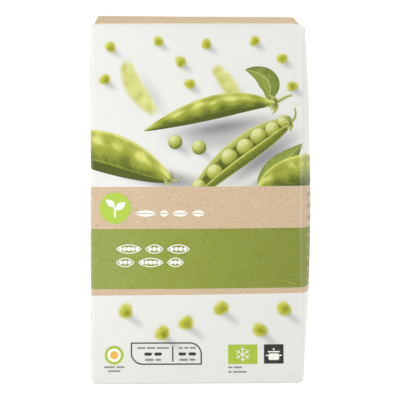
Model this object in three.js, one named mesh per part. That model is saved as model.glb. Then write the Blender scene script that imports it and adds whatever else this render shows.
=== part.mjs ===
import * as THREE from 'three';

// A shut, upright folding carton of frozen peas, in millimetres, +Z up, with its front towards -Y.

// The carton
const WIDTH = 115;
const HEIGHT = 196.5;
const DEPTH = 45;
const BOARD = 0.45;
const GLUE_GAP = 0.05;
const UPRIGHT_FOLD_RADIUS = 1.2;

// How far each filled panel swells at its middle, and what that does to the folds beside it
const RIGHT_SWELL = 4.25;
const LEFT_SWELL = 0.3;
const FRONT_SWELL = 1.6;
const BACK_SWELL = 2.0;
const FOLD_PULL = 0.4;
const BACK_DRIFT = 1.6;
const SWELL_POWER_AT_BASE = 0.72;
const SWELL_POWER_AT_TOP = 0.44;

// How the ends of the body are worn: its side edges are eased, and its corners are pushed in
const END_EASE = 0.9;
const SMALL_REACH = [7, 7, 7];
const LONG_REACH = [9, DEPTH, 14];
const CORNER_CRUSHES = [
  { side: [-1, -1, 1], depth: 0.4, reach: SMALL_REACH },
  { side: [-1, 1, 1], depth: 0.7, reach: SMALL_REACH },
  { side: [1, -1, 1], depth: 0.5, reach: LONG_REACH },
  { side: [1, 1, 1], depth: 1.3, reach: LONG_REACH },
  { side: [-1, -1, -1], depth: 1.1, reach: SMALL_REACH },
  { side: [-1, 1, -1], depth: 0.8, reach: SMALL_REACH },
  { side: [1, -1, -1], depth: 1.2, reach: SMALL_REACH },
  { side: [1, 1, -1], depth: 0.8, reach: SMALL_REACH },
];

// The flaps: where their ends lie in from the carton's sides, and how far they taper to the free edge
const LEFT_INSET = 2.2;
const RIGHT_INSET = 2.9;
const LEFT_TAPER = 2.3;
const RIGHT_TAPER = 0.8;
const FREE_EDGE_SETBACK = 0.6;
const FREE_CORNER_LIFT = 0.9;
const SHARP_CORNER = 1;
const ROUND_CORNER = 5;
const INNER_FLAP_SHORTFALL = 3;
const INNER_FLAP_TAPER = 2.5;

// Colours and finish
const WHITE_BOARD = { color: 0xeceae4, roughness: 0.45, metalness: 0 };
const KRAFT_BOARD = { color: 0xdbc298, roughness: 0.8, metalness: 0 };

// How finely the solids are divided
const BODY_STEPS = { across: 14, deep: 8, up: 24 };
const FLAP_STEPS = { across: 8, fold: 4, plate: 4, corner: 5 };

// What follows from the driving dimensions
const LAYER = BOARD + GLUE_GAP;
const HALF_WIDTH = WIDTH / 2;
const HALF_DEPTH = DEPTH / 2;
const BODY_BASE = 2 * LAYER;
const BODY_TOP = HEIGHT - 2 * LAYER;
const FLAP_FOLD_RADIUS = 2 * LAYER - GLUE_GAP;

// Stations from low to high that crowd together towards both ends
function crowdedStations(low, high, steps) {
  return Array.from({ length: steps + 1 }, (_, i) => {
    const share = (1 - Math.cos((Math.PI * i) / steps)) / 2;
    return low + (high - low) * share;
  });
}

function evenStations(low, high, steps) {
  return Array.from({ length: steps + 1 }, (_, i) => low + ((high - low) * i) / steps);
}

// A closed box whose grid lines stand at the given stations, each point then moved by a function
function latticeSolid(xs, ys, zs, move) {
  const stations = [xs, ys, zs];
  const steps = stations.map((list) => list.length - 1);
  const geometry = new THREE.BoxGeometry(1, 1, 1, ...steps);
  const points = geometry.getAttribute('position');
  for (let i = 0; i < points.count; i += 1) {
    const place = [points.getX(i), points.getY(i), points.getZ(i)];
    const spot = place.map((value, axis) => stations[axis][Math.round((value + 0.5) * steps[axis])]);
    points.setXYZ(i, ...move(...spot));
  }
  geometry.computeVertexNormals();
  return geometry;
}

// The rounded upright folds: a point near a corner of the section moves onto the fold's arc
function roundFold(x, y) {
  const innerX = THREE.MathUtils.clamp(x, -HALF_WIDTH + UPRIGHT_FOLD_RADIUS, HALF_WIDTH - UPRIGHT_FOLD_RADIUS);
  const innerY = THREE.MathUtils.clamp(y, -HALF_DEPTH + UPRIGHT_FOLD_RADIUS, HALF_DEPTH - UPRIGHT_FOLD_RADIUS);
  const outX = x - innerX;
  const outY = y - innerY;
  if (outX === 0 || outY === 0) return [x, y];
  const scale = Math.max(Math.abs(outX), Math.abs(outY)) / Math.hypot(outX, outY);
  return [innerX + outX * scale, innerY + outY * scale];
}

// How much of its full swell a panel has at a height, from 0 at the ends to 1 half way up
function swellAlong(z) {
  const level = THREE.MathUtils.clamp((z - BODY_BASE) / (BODY_TOP - BODY_BASE), 0, 1);
  const power = THREE.MathUtils.lerp(SWELL_POWER_AT_BASE, SWELL_POWER_AT_TOP, level);
  return Math.max(0, Math.sin(Math.PI * level)) ** power;
}

// The panels swell between the folds, and the folds themselves are drawn in a little
function swell(x, y, z) {
  const along = swellAlong(z);
  const shareX = x / HALF_WIDTH;
  const shareY = y / HALF_DEPTH;
  const sideSwell = x > 0 ? RIGHT_SWELL : LEFT_SWELL;
  const faceSwell = y > 0 ? BACK_SWELL : FRONT_SWELL;
  const outX = (sideSwell + FOLD_PULL) * (1 - shareY ** 2) - FOLD_PULL;
  const outY = (faceSwell + FOLD_PULL) * (1 - shareX ** 2) - FOLD_PULL;
  const drift = (BACK_DRIFT * (shareY + 1)) / 2;
  return [x + along * (shareX * outX + drift), y + along * shareY * outY, z];
}

// The side edges at both ends are eased, as the short flaps fold in there
function easeEnds(x, y, z) {
  const fromEnd = Math.min(z - BODY_BASE, BODY_TOP - z);
  const fromSide = HALF_WIDTH - Math.abs(x);
  if (fromEnd > 0 || fromSide > 0) return [x, y, z];
  return [Math.sign(x) * (HALF_WIDTH - END_EASE), y, z];
}

// Each worn corner is pushed in towards the middle, less and less over its reach
function crushCorners(x, y, z, spot) {
  const moved = [x, y, z];
  for (const { side, depth, reach } of CORNER_CRUSHES) {
    const away = [
      HALF_WIDTH - side[0] * spot[0],
      HALF_DEPTH - side[1] * spot[1],
      side[2] > 0 ? BODY_TOP - spot[2] : spot[2] - BODY_BASE,
    ];
    const closeness = away.reduce((share, gap, axis) => share * Math.max(0, 1 - gap / reach[axis]), 1);
    const push = [depth * 0.8, depth * 0.3, depth];
    side.forEach((sign, axis) => {
      moved[axis] -= sign * push[axis] * closeness;
    });
  }
  return moved;
}

function makeBody() {
  const xs = crowdedStations(-HALF_WIDTH, HALF_WIDTH, BODY_STEPS.across);
  const ys = crowdedStations(-HALF_DEPTH, HALF_DEPTH, BODY_STEPS.deep);
  const zs = crowdedStations(BODY_BASE, BODY_TOP, BODY_STEPS.up);
  return latticeSolid(xs, ys, zs, (x, y, z) => {
    const [easedX] = easeEnds(x, y, z);
    const [roundX, roundY] = roundFold(easedX, y);
    return crushCorners(...swell(roundX, roundY, z), [x, y, z]);
  });
}

// How far a rounded free corner draws the end of a flap in, this far before the free edge
function cornerInset(toFreeEdge, radius) {
  if (toFreeEdge >= radius) return 0;
  return radius - Math.sqrt(Math.max(0, radius ** 2 - (radius - toFreeEdge) ** 2));
}

// An outer flap: one bent board, outer face at z = 0, folded over from the front edge at y = -HALF_DEPTH
function makeOuterFlap({ leftCorner, rightCorner, lift }) {
  const foldLength = (Math.PI / 2) * FLAP_FOLD_RADIUS;
  const plateLength = DEPTH - FLAP_FOLD_RADIUS - FREE_EDGE_SETBACK;
  const fullLength = foldLength + plateLength;
  const cornerZone = Math.max(leftCorner, rightCorner);
  const alongFold = evenStations(0, foldLength, FLAP_STEPS.fold);
  const alongPlate = evenStations(foldLength, fullLength - cornerZone, FLAP_STEPS.plate);
  const alongCorner = crowdedStations(-cornerZone, cornerZone, 2 * FLAP_STEPS.corner)
    .slice(FLAP_STEPS.corner)
    .map((value) => fullLength - cornerZone + value);
  const ys = [...alongFold, ...alongPlate.slice(1), ...alongCorner.slice(1)];
  const shares = evenStations(0, 1, FLAP_STEPS.across);
  return latticeSolid(shares, ys, [-BOARD, 0], (share, along, under) => {
    const run = Math.max(0, along - foldLength);
    const taper = run / plateLength;
    const left = -HALF_WIDTH + LEFT_INSET + LEFT_TAPER * taper + cornerInset(plateLength - run, leftCorner);
    const right = HALF_WIDTH - RIGHT_INSET - RIGHT_TAPER * taper - cornerInset(plateLength - run, rightCorner);
    const angle = Math.min(1, along / foldLength) * (Math.PI / 2);
    const radius = FLAP_FOLD_RADIUS + under;
    const raised = lift * taper ** 1.5 * (1 - share);
    return [
      THREE.MathUtils.lerp(left, right, share),
      -HALF_DEPTH + FLAP_FOLD_RADIUS - radius * Math.cos(angle) + run,
      -FLAP_FOLD_RADIUS + radius * Math.sin(angle) + raised,
    ];
  });
}

// An inner flap: a flat board one layer down, joined at the back edge and short of the front
function makeInnerFlap() {
  const backEnd = HALF_WIDTH - LEFT_INSET;
  const frontEnd = backEnd - INNER_FLAP_TAPER;
  const frontEdge = -HALF_DEPTH + INNER_FLAP_SHORTFALL;
  const outline = new THREE.Shape();
  outline.moveTo(-backEnd, HALF_DEPTH);
  outline.lineTo(-frontEnd, frontEdge + SHARP_CORNER);
  outline.quadraticCurveTo(-frontEnd, frontEdge, -frontEnd + SHARP_CORNER, frontEdge);
  outline.lineTo(frontEnd - SHARP_CORNER, frontEdge);
  outline.quadraticCurveTo(frontEnd, frontEdge, frontEnd, frontEdge + SHARP_CORNER);
  outline.lineTo(backEnd, HALF_DEPTH);
  outline.closePath();
  const geometry = new THREE.ExtrudeGeometry(outline, { depth: BOARD, bevelEnabled: false, curveSegments: 4 });
  geometry.translate(0, 0, -LAYER - BOARD);
  return geometry;
}

function namedMesh(name, geometry, finish) {
  const mesh = new THREE.Mesh(geometry, new THREE.MeshStandardMaterial(finish));
  mesh.name = name;
  return mesh;
}

// One end of the carton, with its outer face at z = 0 and the carton below it
function makeEnd(place, outerShape) {
  const end = new THREE.Group();
  end.add(namedMesh(`${place}_outer_flap`, makeOuterFlap(outerShape), KRAFT_BOARD));
  end.add(namedMesh(`${place}_inner_flap`, makeInnerFlap(), WHITE_BOARD));
  return end;
}

const carton = new THREE.Group();
carton.add(namedMesh('carton_body', makeBody(), WHITE_BOARD));

const topEnd = makeEnd('top', { leftCorner: SHARP_CORNER, rightCorner: ROUND_CORNER, lift: FREE_CORNER_LIFT });
topEnd.position.z = HEIGHT;
carton.add(topEnd);

const bottomEnd = makeEnd('bottom', { leftCorner: SHARP_CORNER, rightCorner: SHARP_CORNER, lift: 0 });
bottomEnd.rotation.y = Math.PI;
carton.add(bottomEnd);

// The origin is below the middle of the whole carton
carton.updateMatrixWorld(true);
const middle = new THREE.Box3().setFromObject(carton, true).getCenter(new THREE.Vector3());
carton.position.set(-middle.x, -middle.y, 0);

export default carton;
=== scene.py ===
import math
import random

import bmesh
import bpy
import numpy as np
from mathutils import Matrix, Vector, noise


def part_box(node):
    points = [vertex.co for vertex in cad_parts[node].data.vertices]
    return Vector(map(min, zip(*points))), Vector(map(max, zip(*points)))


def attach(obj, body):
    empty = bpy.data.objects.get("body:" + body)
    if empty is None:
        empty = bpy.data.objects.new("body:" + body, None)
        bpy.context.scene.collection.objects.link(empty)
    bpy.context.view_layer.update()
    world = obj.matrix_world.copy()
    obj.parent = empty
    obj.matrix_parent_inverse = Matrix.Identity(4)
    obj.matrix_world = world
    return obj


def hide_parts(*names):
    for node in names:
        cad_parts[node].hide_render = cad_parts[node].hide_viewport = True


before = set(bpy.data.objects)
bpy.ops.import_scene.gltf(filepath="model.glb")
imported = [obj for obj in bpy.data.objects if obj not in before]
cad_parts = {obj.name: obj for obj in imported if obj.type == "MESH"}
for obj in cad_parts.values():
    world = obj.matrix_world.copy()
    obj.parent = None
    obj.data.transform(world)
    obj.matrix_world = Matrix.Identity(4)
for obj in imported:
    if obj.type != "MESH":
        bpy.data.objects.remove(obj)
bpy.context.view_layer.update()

MM = 0.001

# The carton, in millimetres, with its front towards -Y
WIDTH = 115
HEIGHT = 196.5
DEPTH = 45
BOARD = 0.45
GLUE_GAP = 0.05
UPRIGHT_FOLD_RADIUS = 1.2
RIGHT_SWELL = 4.25
LEFT_SWELL = 0.3
FRONT_SWELL = 1.6
BACK_SWELL = 2.0
FOLD_PULL = 0.4
BACK_DRIFT = 1.2
SWELL_POWER_AT_BASE = 0.72
SWELL_POWER_AT_TOP = 0.44
END_EASE = 0.9
RIPPLE = 0.12

# Worn corners: which corner, how far it is pushed in (or out, if negative) and how far that reaches, by axis
CORNER_CRUSHES = (
    ((-1, -1, 1), (0.3, 0.1, 0.4), (7, 7, 7)),
    ((-1, 1, 1), (2.0, 0.6, 3.4), (10, 40, 16)),
    ((1, -1, 1), (0.2, 0.2, 2.2), (4.5, 60, 8)),
    ((1, 1, 1), (1.0, 0.4, 1.3), (9, DEPTH, 14)),
    ((-1, -1, -1), (0.5, 0.2, -0.45), (5, 7, 6)),
    ((-1, 1, -1), (0.6, 0.2, 0.6), (7, 7, 7)),
    ((1, -1, -1), (0.5, 0.3, -0.4), (3, 7, 3)),
    ((1, 1, -1), (0.6, 0.2, 0.8), (7, 7, 7)),
)

# How much fuller than an even swell the right side is, by height
RIGHT_FULLNESS = (
    (0, 0.62), (11, 0.6), (19, 0.5), (27, 0.46), (37, 0.4), (46, 0.37), (55, 0.32), (68, 0.26), (134, 0.25),
    (150, 0.27), (160, 0.16), (169, 0.06), (178, 0.03), (182, 0.12), (187, 0.14), (189, 0.42), (191, 0.7),
    (193.3, 0.98), (195.5, 1.3),
)

# The end flaps
LEFT_INSET = 2.2
RIGHT_INSET = 2.9
LEFT_TAPER = 2.6
FREE_EDGE_SETBACK = 0.6
FREE_CORNER_LIFT = 0.9
SHARP_CORNER = 1
ROUND_CORNER = 3.9
INNER_FLAP_SHORTFALL = 3
INNER_FLAP_TAPER = 2.5
TOP_WHITE_ANGLE = math.radians(14)
BASE_WHITE_ANGLE = math.radians(89)
FLAP_UNEVENNESS = 0.05
SKIRT = 1.5
SKIRT_THINNESS = 0.1
SKIRT_GAP = 0.04

# How the outer flaps are worn: a pale line over the top fold that is rubbed paper and painted highlight, in
# shares of the fold, and their free edges
RUBBED_HIGHLIGHT_LINE, RUBBED_HIGHLIGHT_WIDTH, RUBBED_HIGHLIGHT = 0.37, 0.2, 0.95
EDGE_WEAR_REACH, EDGE_WEAR = 0.4, 0.35

# How finely the meshes are divided: the body's spacing in millimetres, and the flaps' steps
ACROSS_SPACING, DEEP_SPACING, UP_SPACING = 2.4, 1.5, 2.0
FLAP_STEPS = {"across": 40, "skirt": 4, "white": 6, "fold": 5, "plate": 22, "corner": 14}
INNER_FLAP_STEPS = {"plate": 24, "corner": 6}

# The printed bands, each edge's height at the front left and the front right fold
BAND_EDGES = {
    "kraft_base": (48.4, 49.5),
    "green_base": (51.9, 52.5),
    "green_top": (84.8, 85.1),
    "kraft_top": (107.7, 107.9),
}

# How far the bands' edges dip on the right side
SIDE_PRINT_DROP = {"kraft_top": 0.9, "green_top": 0.8, "kraft_base": 0.4}

# What follows from the driving dimensions
LAYER = BOARD + GLUE_GAP
HALF_WIDTH = WIDTH / 2
HALF_DEPTH = DEPTH / 2
BODY_BASE = 2 * LAYER
BODY_TOP = HEIGHT - 2 * LAYER
FLAP_FOLD_RADIUS = 2 * LAYER - GLUE_GAP

# The whole way round the carton, and the way from the front's middle to the back folds and other middles
GIRTH = 2 * (WIDTH + DEPTH)
BACK_RIGHT_FOLD = HALF_WIDTH + DEPTH
BACK_LEFT_FOLD = HALF_WIDTH + DEPTH + WIDTH
RIGHT_MIDDLE = HALF_WIDTH + HALF_DEPTH
BACK_MIDDLE = HALF_WIDTH + DEPTH + HALF_WIDTH
LEFT_MIDDLE = -RIGHT_MIDDLE

# Where the coating is worn: the way round to it, its reach and how much, most along the front right fold
FOLD_WEAR = (
    (HALF_WIDTH - 0.6, 1.0, 0.18), (HALF_WIDTH - 1.15, 0.17, 0.34), (HALF_WIDTH - 0.05, 0.17, 0.5),
    (-HALF_WIDTH, 0.3, 0.45), (BACK_RIGHT_FOLD, 0.3, 0.45), (BACK_LEFT_FOLD, 0.3, 0.45),
    (GIRTH - HALF_WIDTH, 0.3, 0.45),
)
END_WEAR_REACH, END_WEAR = 0.5, 0.45

# Printed shapes lie on the board as thin films, each layer a little above the one below
FIRST_LIFT = 0.03
LAYER_LIFT = 0.015
FILM_THICKNESS = 0.012

# Edges that bend by more than this are shaded as sharp
SHARP_FOLD = math.radians(30)


def linear(red, green, blue):
    """A colour given from 0 to 255 as a screen shows it, in the linear values that shaders take."""
    return tuple(((c / 255 + 0.055) / 1.055) ** 2.4 if c > 10 else c / 3295 for c in (red, green, blue))


# The surface of the carton

def even(low, high, steps):
    return list(np.linspace(low, high, steps + 1))


def hump(value, middle, reach):
    """1 where the value is at the middle, falling off smoothly to both sides over the reach."""
    return np.exp(-(((value - middle) / reach) ** 2))


def near_fold(edge, inward, reach=3.0, steps=14):
    """Stations that crowd towards a fold at edge, from the fold inwards over the reach."""
    return [edge + inward * reach * (i / steps) ** 1.5 for i in range(steps + 1)]


def panel_stations(half, spacing):
    """Stations across a panel from -half to half, crowded at both folds."""
    low = near_fold(-half, 1)
    high = near_fold(half, -1)[::-1]
    steps = round((high[0] - low[-1]) / spacing)
    return low[:-1] + even(low[-1], high[0], steps) + high[1:]


def round_corner(a, b, half_a, half_b, radius):
    """Moves points in the sharp corners of a section of half_a by half_b onto arcs of this radius."""
    inner_a = np.clip(a, -half_a + radius, half_a - radius)
    inner_b = np.clip(b, -half_b + radius, half_b - radius)
    out_a, out_b = a - inner_a, b - inner_b
    corner = (out_a != 0) & (out_b != 0)
    length = np.where(corner, np.hypot(out_a, out_b), 1)
    scale = np.where(corner, np.maximum(abs(out_a), abs(out_b)) / length, 1)
    return inner_a + out_a * scale, inner_b + out_b * scale


def swell_along(z):
    """How much of its full swell a panel has at a height, from 0 at the ends to 1 half way up."""
    level = np.clip((z - BODY_BASE) / (BODY_TOP - BODY_BASE), 0, 1)
    power = SWELL_POWER_AT_BASE + (SWELL_POWER_AT_TOP - SWELL_POWER_AT_BASE) * level
    return np.sin(math.pi * level).clip(0) ** power


def ripple(a, b):
    """A low uneven wave over a panel, between -1 and 1."""
    return (np.sin(a / 9.1 + b / 23.0) + np.sin(b / 13.7 - a / 31.0 + 1.3) + np.sin((a + b) / 17.3 + 4.0)) / 3


def swell(x, y, z):
    along = swell_along(z)
    share_x, share_y = x / HALF_WIDTH, y / HALF_DEPTH
    side = np.where(x > 0, RIGHT_SWELL, LEFT_SWELL) + FOLD_PULL + RIPPLE * ripple(y, z)
    face = np.where(y > 0, BACK_SWELL, FRONT_SWELL) + FOLD_PULL + RIPPLE * ripple(x, z)
    out_x = side * (1 - share_y**2) - FOLD_PULL
    out_y = face * (1 - share_x**2) - FOLD_PULL
    drift = BACK_DRIFT * (share_y + 1) / 2
    fullness = np.interp(z, *zip(*RIGHT_FULLNESS)) * np.clip(share_x, 0, 1) ** 2
    return x + along * (share_x * out_x + drift) + fullness, y + along * share_y * out_y, z


def crush(moved, spots, corners=CORNER_CRUSHES):
    """Pushes each worn corner in towards the middle, less and less over its reach."""
    ends = np.array([HALF_WIDTH, HALF_DEPTH, 0])
    for side, depths, reach in corners:
        away = ends - np.array(side) * spots
        away[:, 2] = BODY_TOP - spots[:, 2] if side[2] > 0 else spots[:, 2] - BODY_BASE
        closeness = np.clip(1 - away / np.array(reach), 0, 1).prod(axis=1)
        moved = moved - np.array(side) * np.array(depths) * closeness[:, None]
    return moved


def board_surface(spots):
    """Where points of the sharp box lie on the real, swollen and worn carton."""
    x, y, z = np.asarray(spots, float).T
    half_high, middle = (BODY_TOP - BODY_BASE) / 2, (BODY_TOP + BODY_BASE) / 2
    x, up = round_corner(x, z - middle, HALF_WIDTH, half_high, END_EASE)
    z = up + middle
    x, y = round_corner(x, y, HALF_WIDTH, HALF_DEPTH, UPRIGHT_FOLD_RADIUS)
    return crush(np.stack(swell(x, y, z), axis=1), np.asarray(spots, float))


def wrapped(s):
    """The way round the carton, s, which is 0 at the front's middle, counted on from the front left fold."""
    return (np.asarray(s, float) + HALF_WIDTH) % GIRTH - HALF_WIDTH


def girth_spots(s, z):
    """Points of the sharp box from the way round the carton."""
    s = wrapped(s)
    sides = [s <= HALF_WIDTH, s <= BACK_RIGHT_FOLD, s <= BACK_LEFT_FOLD]
    x = np.select(sides, [s, HALF_WIDTH, HALF_WIDTH - (s - BACK_RIGHT_FOLD)], -HALF_WIDTH)
    y = np.select(sides, [-HALF_DEPTH, s - RIGHT_MIDDLE, HALF_DEPTH], HALF_DEPTH - (s - BACK_LEFT_FOLD))
    return np.stack([x, y, np.broadcast_to(z, s.shape)], axis=1)


def on_board(points, lifts):
    """Where (s, z) points lie on the board, each lifted off it along the board's normal."""
    s, z = np.asarray(points, float).T
    step = 0.05
    along = board_surface(girth_spots(s + step, z)) - board_surface(girth_spots(s - step, z))
    up = board_surface(girth_spots(s, z + step)) - board_surface(girth_spots(s, z - step))
    normal = np.cross(along, up)
    normal /= np.linalg.norm(normal, axis=1, keepdims=True)
    return board_surface(girth_spots(s, z)) + normal * np.asarray(lifts, float)[:, None]


def fold_wear(s, z):
    """How worn the board's coating is, from 0 to 1, along the folds and at both ends."""
    s, z = wrapped(s), np.asarray(z, float)
    worn = sum(depth * hump(s, place, reach) for place, reach, depth in FOLD_WEAR)
    return worn + END_WEAR * hump(np.minimum(BODY_TOP - z, z - BODY_BASE), 0, END_WEAR_REACH)


# Meshes

def lattice_box(stations):
    """A box on a lattice of stations along x, y and z: welded points, outward quads and each quad's cell."""
    index, spots, quads, cells = {}, [], [], []
    counts = [len(line) - 1 for line in stations]

    def corner(at):
        if at not in index:
            index[at] = len(spots)
            spots.append([stations[axis][at[axis]] for axis in range(3)])
        return index[at]

    for axis in range(3):
        u, v = (axis + 1) % 3, (axis + 2) % 3
        for end in (0, counts[axis]):
            for i in range(counts[u]):
                for j in range(counts[v]):
                    ring = []
                    for step_u, step_v in ((0, 0), (1, 0), (1, 1), (0, 1)):
                        at = [end] * 3
                        at[u], at[v] = i + step_u, j + step_v
                        ring.append(corner(tuple(at)))
                    quads.append(ring if end else ring[::-1])
                    cell = [end] * 3
                    cell[u], cell[v] = i, j
                    cells.append((axis, end > 0, *cell))
    return np.array(spots, float), quads, cells


def body_stations(rows):
    """The stations of the carton's body along x, y and z, with these rows."""
    return panel_stations(HALF_WIDTH, ACROSS_SPACING), panel_stations(HALF_DEPTH, DEEP_SPACING), rows


def carton_shift():
    """How far the frame's carton stands from the middle of the shapes that are worked out here."""
    points = board_surface(lattice_box(body_stations(even(BODY_BASE, BODY_TOP, 40)))[0])
    middle = (points.min(axis=0) + points.max(axis=0)) / 2
    body_low, body_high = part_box("carton_body")
    frame_middle = (body_low + body_high) / 2 / MM
    return frame_middle.x - middle[0], frame_middle.y - middle[1]


CARTON_SHIFT = carton_shift()


def add_object(name, data):
    made = bpy.data.objects.new(name, data)
    bpy.context.scene.collection.objects.link(made)
    return made


def make_object(name, points, faces, materials, face_slots, wear_and_highlight, inks=None):
    """A mesh object from points in millimetres in the carton's own frame, with each point's wear and painted
    highlight, and its ink.
    """
    mesh = bpy.data.meshes.new(name)
    places = (np.asarray(points, float) + np.array([*CARTON_SHIFT, 0])) * MM
    mesh.from_pydata([tuple(p) for p in places], [], faces)
    for material in materials:
        mesh.materials.append(material)
    mesh.polygons.foreach_set("material_index", np.asarray(face_slots, np.int32))
    if inks is not None:
        colours = mesh.attributes.new("ink", "FLOAT_COLOR", "POINT")
        colours.data.foreach_set("color", np.asarray(inks, np.float32).ravel())
    mesh.attributes.new("wear_and_highlight", "FLOAT", "POINT").data.foreach_set("value", np.asarray(wear_and_highlight, np.float32))
    mesh.polygons.foreach_set("use_smooth", np.ones(len(mesh.polygons), bool))
    shape = bmesh.new()
    shape.from_mesh(mesh)
    for edge in shape.edges:
        if len(edge.link_faces) == 2 and edge.calc_face_angle(0) > SHARP_FOLD:
            edge.smooth = False
    shape.to_mesh(mesh)
    shape.free()
    made = add_object(name, mesh)
    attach(made, "root")
    return made


def band_height(name, s):
    """The height of a band's edge at s. It slopes across the front and back again across the back."""
    s = wrapped(s)
    front_share = np.clip((s + HALF_WIDTH) / WIDTH, 0, 1)
    back_share = np.clip((BACK_LEFT_FOLD - s) / WIDTH, 0, 1)
    low, high = BAND_EDGES[name]
    drop = SIDE_PRINT_DROP.get(name, 0) * np.sin(math.pi * np.clip((s - HALF_WIDTH) / DEPTH, 0, 1))
    return low + (high - low) * np.where(s <= BACK_RIGHT_FOLD, front_share, back_share) - drop


def band_levels(s):
    """The true height of every band edge at s, for each level of the lattice that follows one."""
    edges = [band_height(name, s) for name in BAND_EDGES]
    return np.stack([np.full_like(s, BODY_BASE), *edges, np.full_like(s, BODY_TOP)])


def spot_girth(spots):
    """The way round the carton, s, of points of the sharp box. On the ends it follows x alone."""
    x, y, _ = spots.T
    on_left = np.where(y <= -HALF_DEPTH, -HALF_WIDTH, BACK_LEFT_FOLD + HALF_DEPTH - y)
    places = [RIGHT_MIDDLE + y, on_left, BACK_MIDDLE - x]
    return np.select([x >= HALF_WIDTH, x <= -HALF_WIDTH, y >= HALF_DEPTH], places, x)


def shell_rows():
    """Stations up the carton that pass through every band edge and crowd at the ends, and the bands' rows."""
    levels = [BODY_BASE, *[(low + high) / 2 for low, high in BAND_EDGES.values()], BODY_TOP]
    base, top = near_fold(BODY_BASE, 1, 4, 8), near_fold(BODY_TOP, -1, 4, 8)[::-1]
    cuts = [base[-1], *levels[1:-1], top[0]]
    rows, marks = base[:-1], []
    for low, high in zip(cuts[:-1], cuts[1:]):
        marks.append(len(rows))
        rows += even(low, high, max(2, round((high - low) / UP_SPACING)))[:-1]
    return rows + top, marks, levels


def make_shell(materials):
    """The printed tube of board, with the four bands as materials of their own faces."""
    rows, marks, levels = shell_rows()
    spots, quads, cells = lattice_box(body_stations(rows))
    girth, level = spot_girth(spots), spots[:, 2].copy()
    true_levels = band_levels(girth)
    for low, high, true_low, true_high in zip(levels[:-1], levels[1:], true_levels[:-1], true_levels[1:]):
        inside = (level >= low) & (level <= high)
        share = (level - low) / (high - low)
        spots[:, 2] = np.where(inside, true_low + (true_high - true_low) * share, spots[:, 2])
    bands = (0, 1, 2, 1, 0)
    row_slots = [bands[sum(row >= mark for mark in marks[1:])] for row in range(len(rows))]
    slots = [0 if axis == 2 else row_slots[row] for axis, _, _, _, row in cells]
    wear_and_highlight = fold_wear(girth, spots[:, 2])
    return make_object("carton_shell", board_surface(spots), quads, materials, slots, wear_and_highlight)


def corner_inset(to_free_edge, radius):
    """How far a round free corner draws the end of a flap in, this far before the free edge."""
    gap = np.clip(radius - to_free_edge, 0, radius)
    return radius - np.sqrt(radius**2 - gap**2)


def corner_stations(start, zone, steps):
    """Stations over the zone of a round corner, which crowd towards the free edge."""
    return [start + zone * math.sin(math.pi / 2 * i / steps) for i in range(steps + 1)]


def follow_corners(points, corners):
    """Bends the points of a top flap down with the worn corners of the board below it."""
    spots = points.copy()
    spots[:, 2] = BODY_TOP
    return crush(points, spots, corners)


def make_outer_flap(name, materials, place, left_corner, right_corner, lift, white_angle):
    """A bent board that is folded over from the front edge, with its printed, inner and cut faces."""
    fold_length = math.pi / 2 * FLAP_FOLD_RADIUS
    plate_length = DEPTH - FLAP_FOLD_RADIUS - FREE_EDGE_SETBACK
    full = fold_length + plate_length
    zone = max(left_corner, right_corner)
    white_end = white_angle / (math.pi / 2) * fold_length
    ends = (-SKIRT, 0, white_end, fold_length, full - zone)
    alongs = []
    for low, high, part in zip(ends, ends[1:], ("skirt", "white", "fold", "plate")):
        alongs += even(low, high, FLAP_STEPS[part])[:-1]
    alongs += corner_stations(full - zone, zone, FLAP_STEPS["corner"])
    spots, quads, cells = lattice_box((even(0, 1, FLAP_STEPS["across"]), alongs, (-BOARD, 0)))
    share, along, under = spots.T
    skirt = along < 0
    under = np.where(skirt, under * SKIRT_THINNESS, under)
    run = np.maximum(0, along - fold_length)
    taper = run / plate_length
    left = -HALF_WIDTH + LEFT_INSET + LEFT_TAPER * taper + corner_inset(plate_length - run, left_corner)
    right = HALF_WIDTH - RIGHT_INSET - corner_inset(plate_length - run, right_corner)
    angle = np.clip(along / fold_length, 0, 1) * math.pi / 2
    radius = FLAP_FOLD_RADIUS + under
    x = left + (right - left) * share
    y = -HALF_DEPTH + FLAP_FOLD_RADIUS - radius * np.cos(angle) + run
    z = -FLAP_FOLD_RADIUS + radius * np.sin(angle) + np.minimum(0, along)
    if lift:
        z += lift * taper**1.5 * (1 - share) + FLAP_UNEVENNESS * taper * (1 + ripple(x * 2, run * 3))
    white_rows = FLAP_STEPS["skirt"] + FLAP_STEPS["white"]

    def slot_of(cell):
        axis, high, _, row, _ = cell
        if axis == 2 and not high:
            return 3
        if axis < 2 and row >= white_rows:
            return 2
        return 0 if row < white_rows else 1

    # A pale line over the top fold: partly rubbed paper, partly a painted highlight where the fold catches
    # the light.
    rubbed_and_highlight = RUBBED_HIGHLIGHT * np.exp(-(((along / fold_length - RUBBED_HIGHLIGHT_LINE) / RUBBED_HIGHLIGHT_WIDTH) ** 4)) if lift else 0
    edges = EDGE_WEAR * hump(full - along, 0, EDGE_WEAR_REACH)
    points = place(np.stack([x, y, z], axis=1))
    moved = np.stack(swell(points[:, 0], np.full(len(points), -HALF_DEPTH), points[:, 2]), axis=1)
    moved[:, 1] += points[:, 1] + HALF_DEPTH - SKIRT_GAP
    points = np.where(skirt[:, None], moved, points)
    if place is at_top:
        points = follow_corners(points, [worn for worn in CORNER_CRUSHES if worn[0][1] < 0 < worn[0][2]])
    return make_object(name, points, quads, materials, [slot_of(cell) for cell in cells], rubbed_and_highlight + edges)


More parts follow.
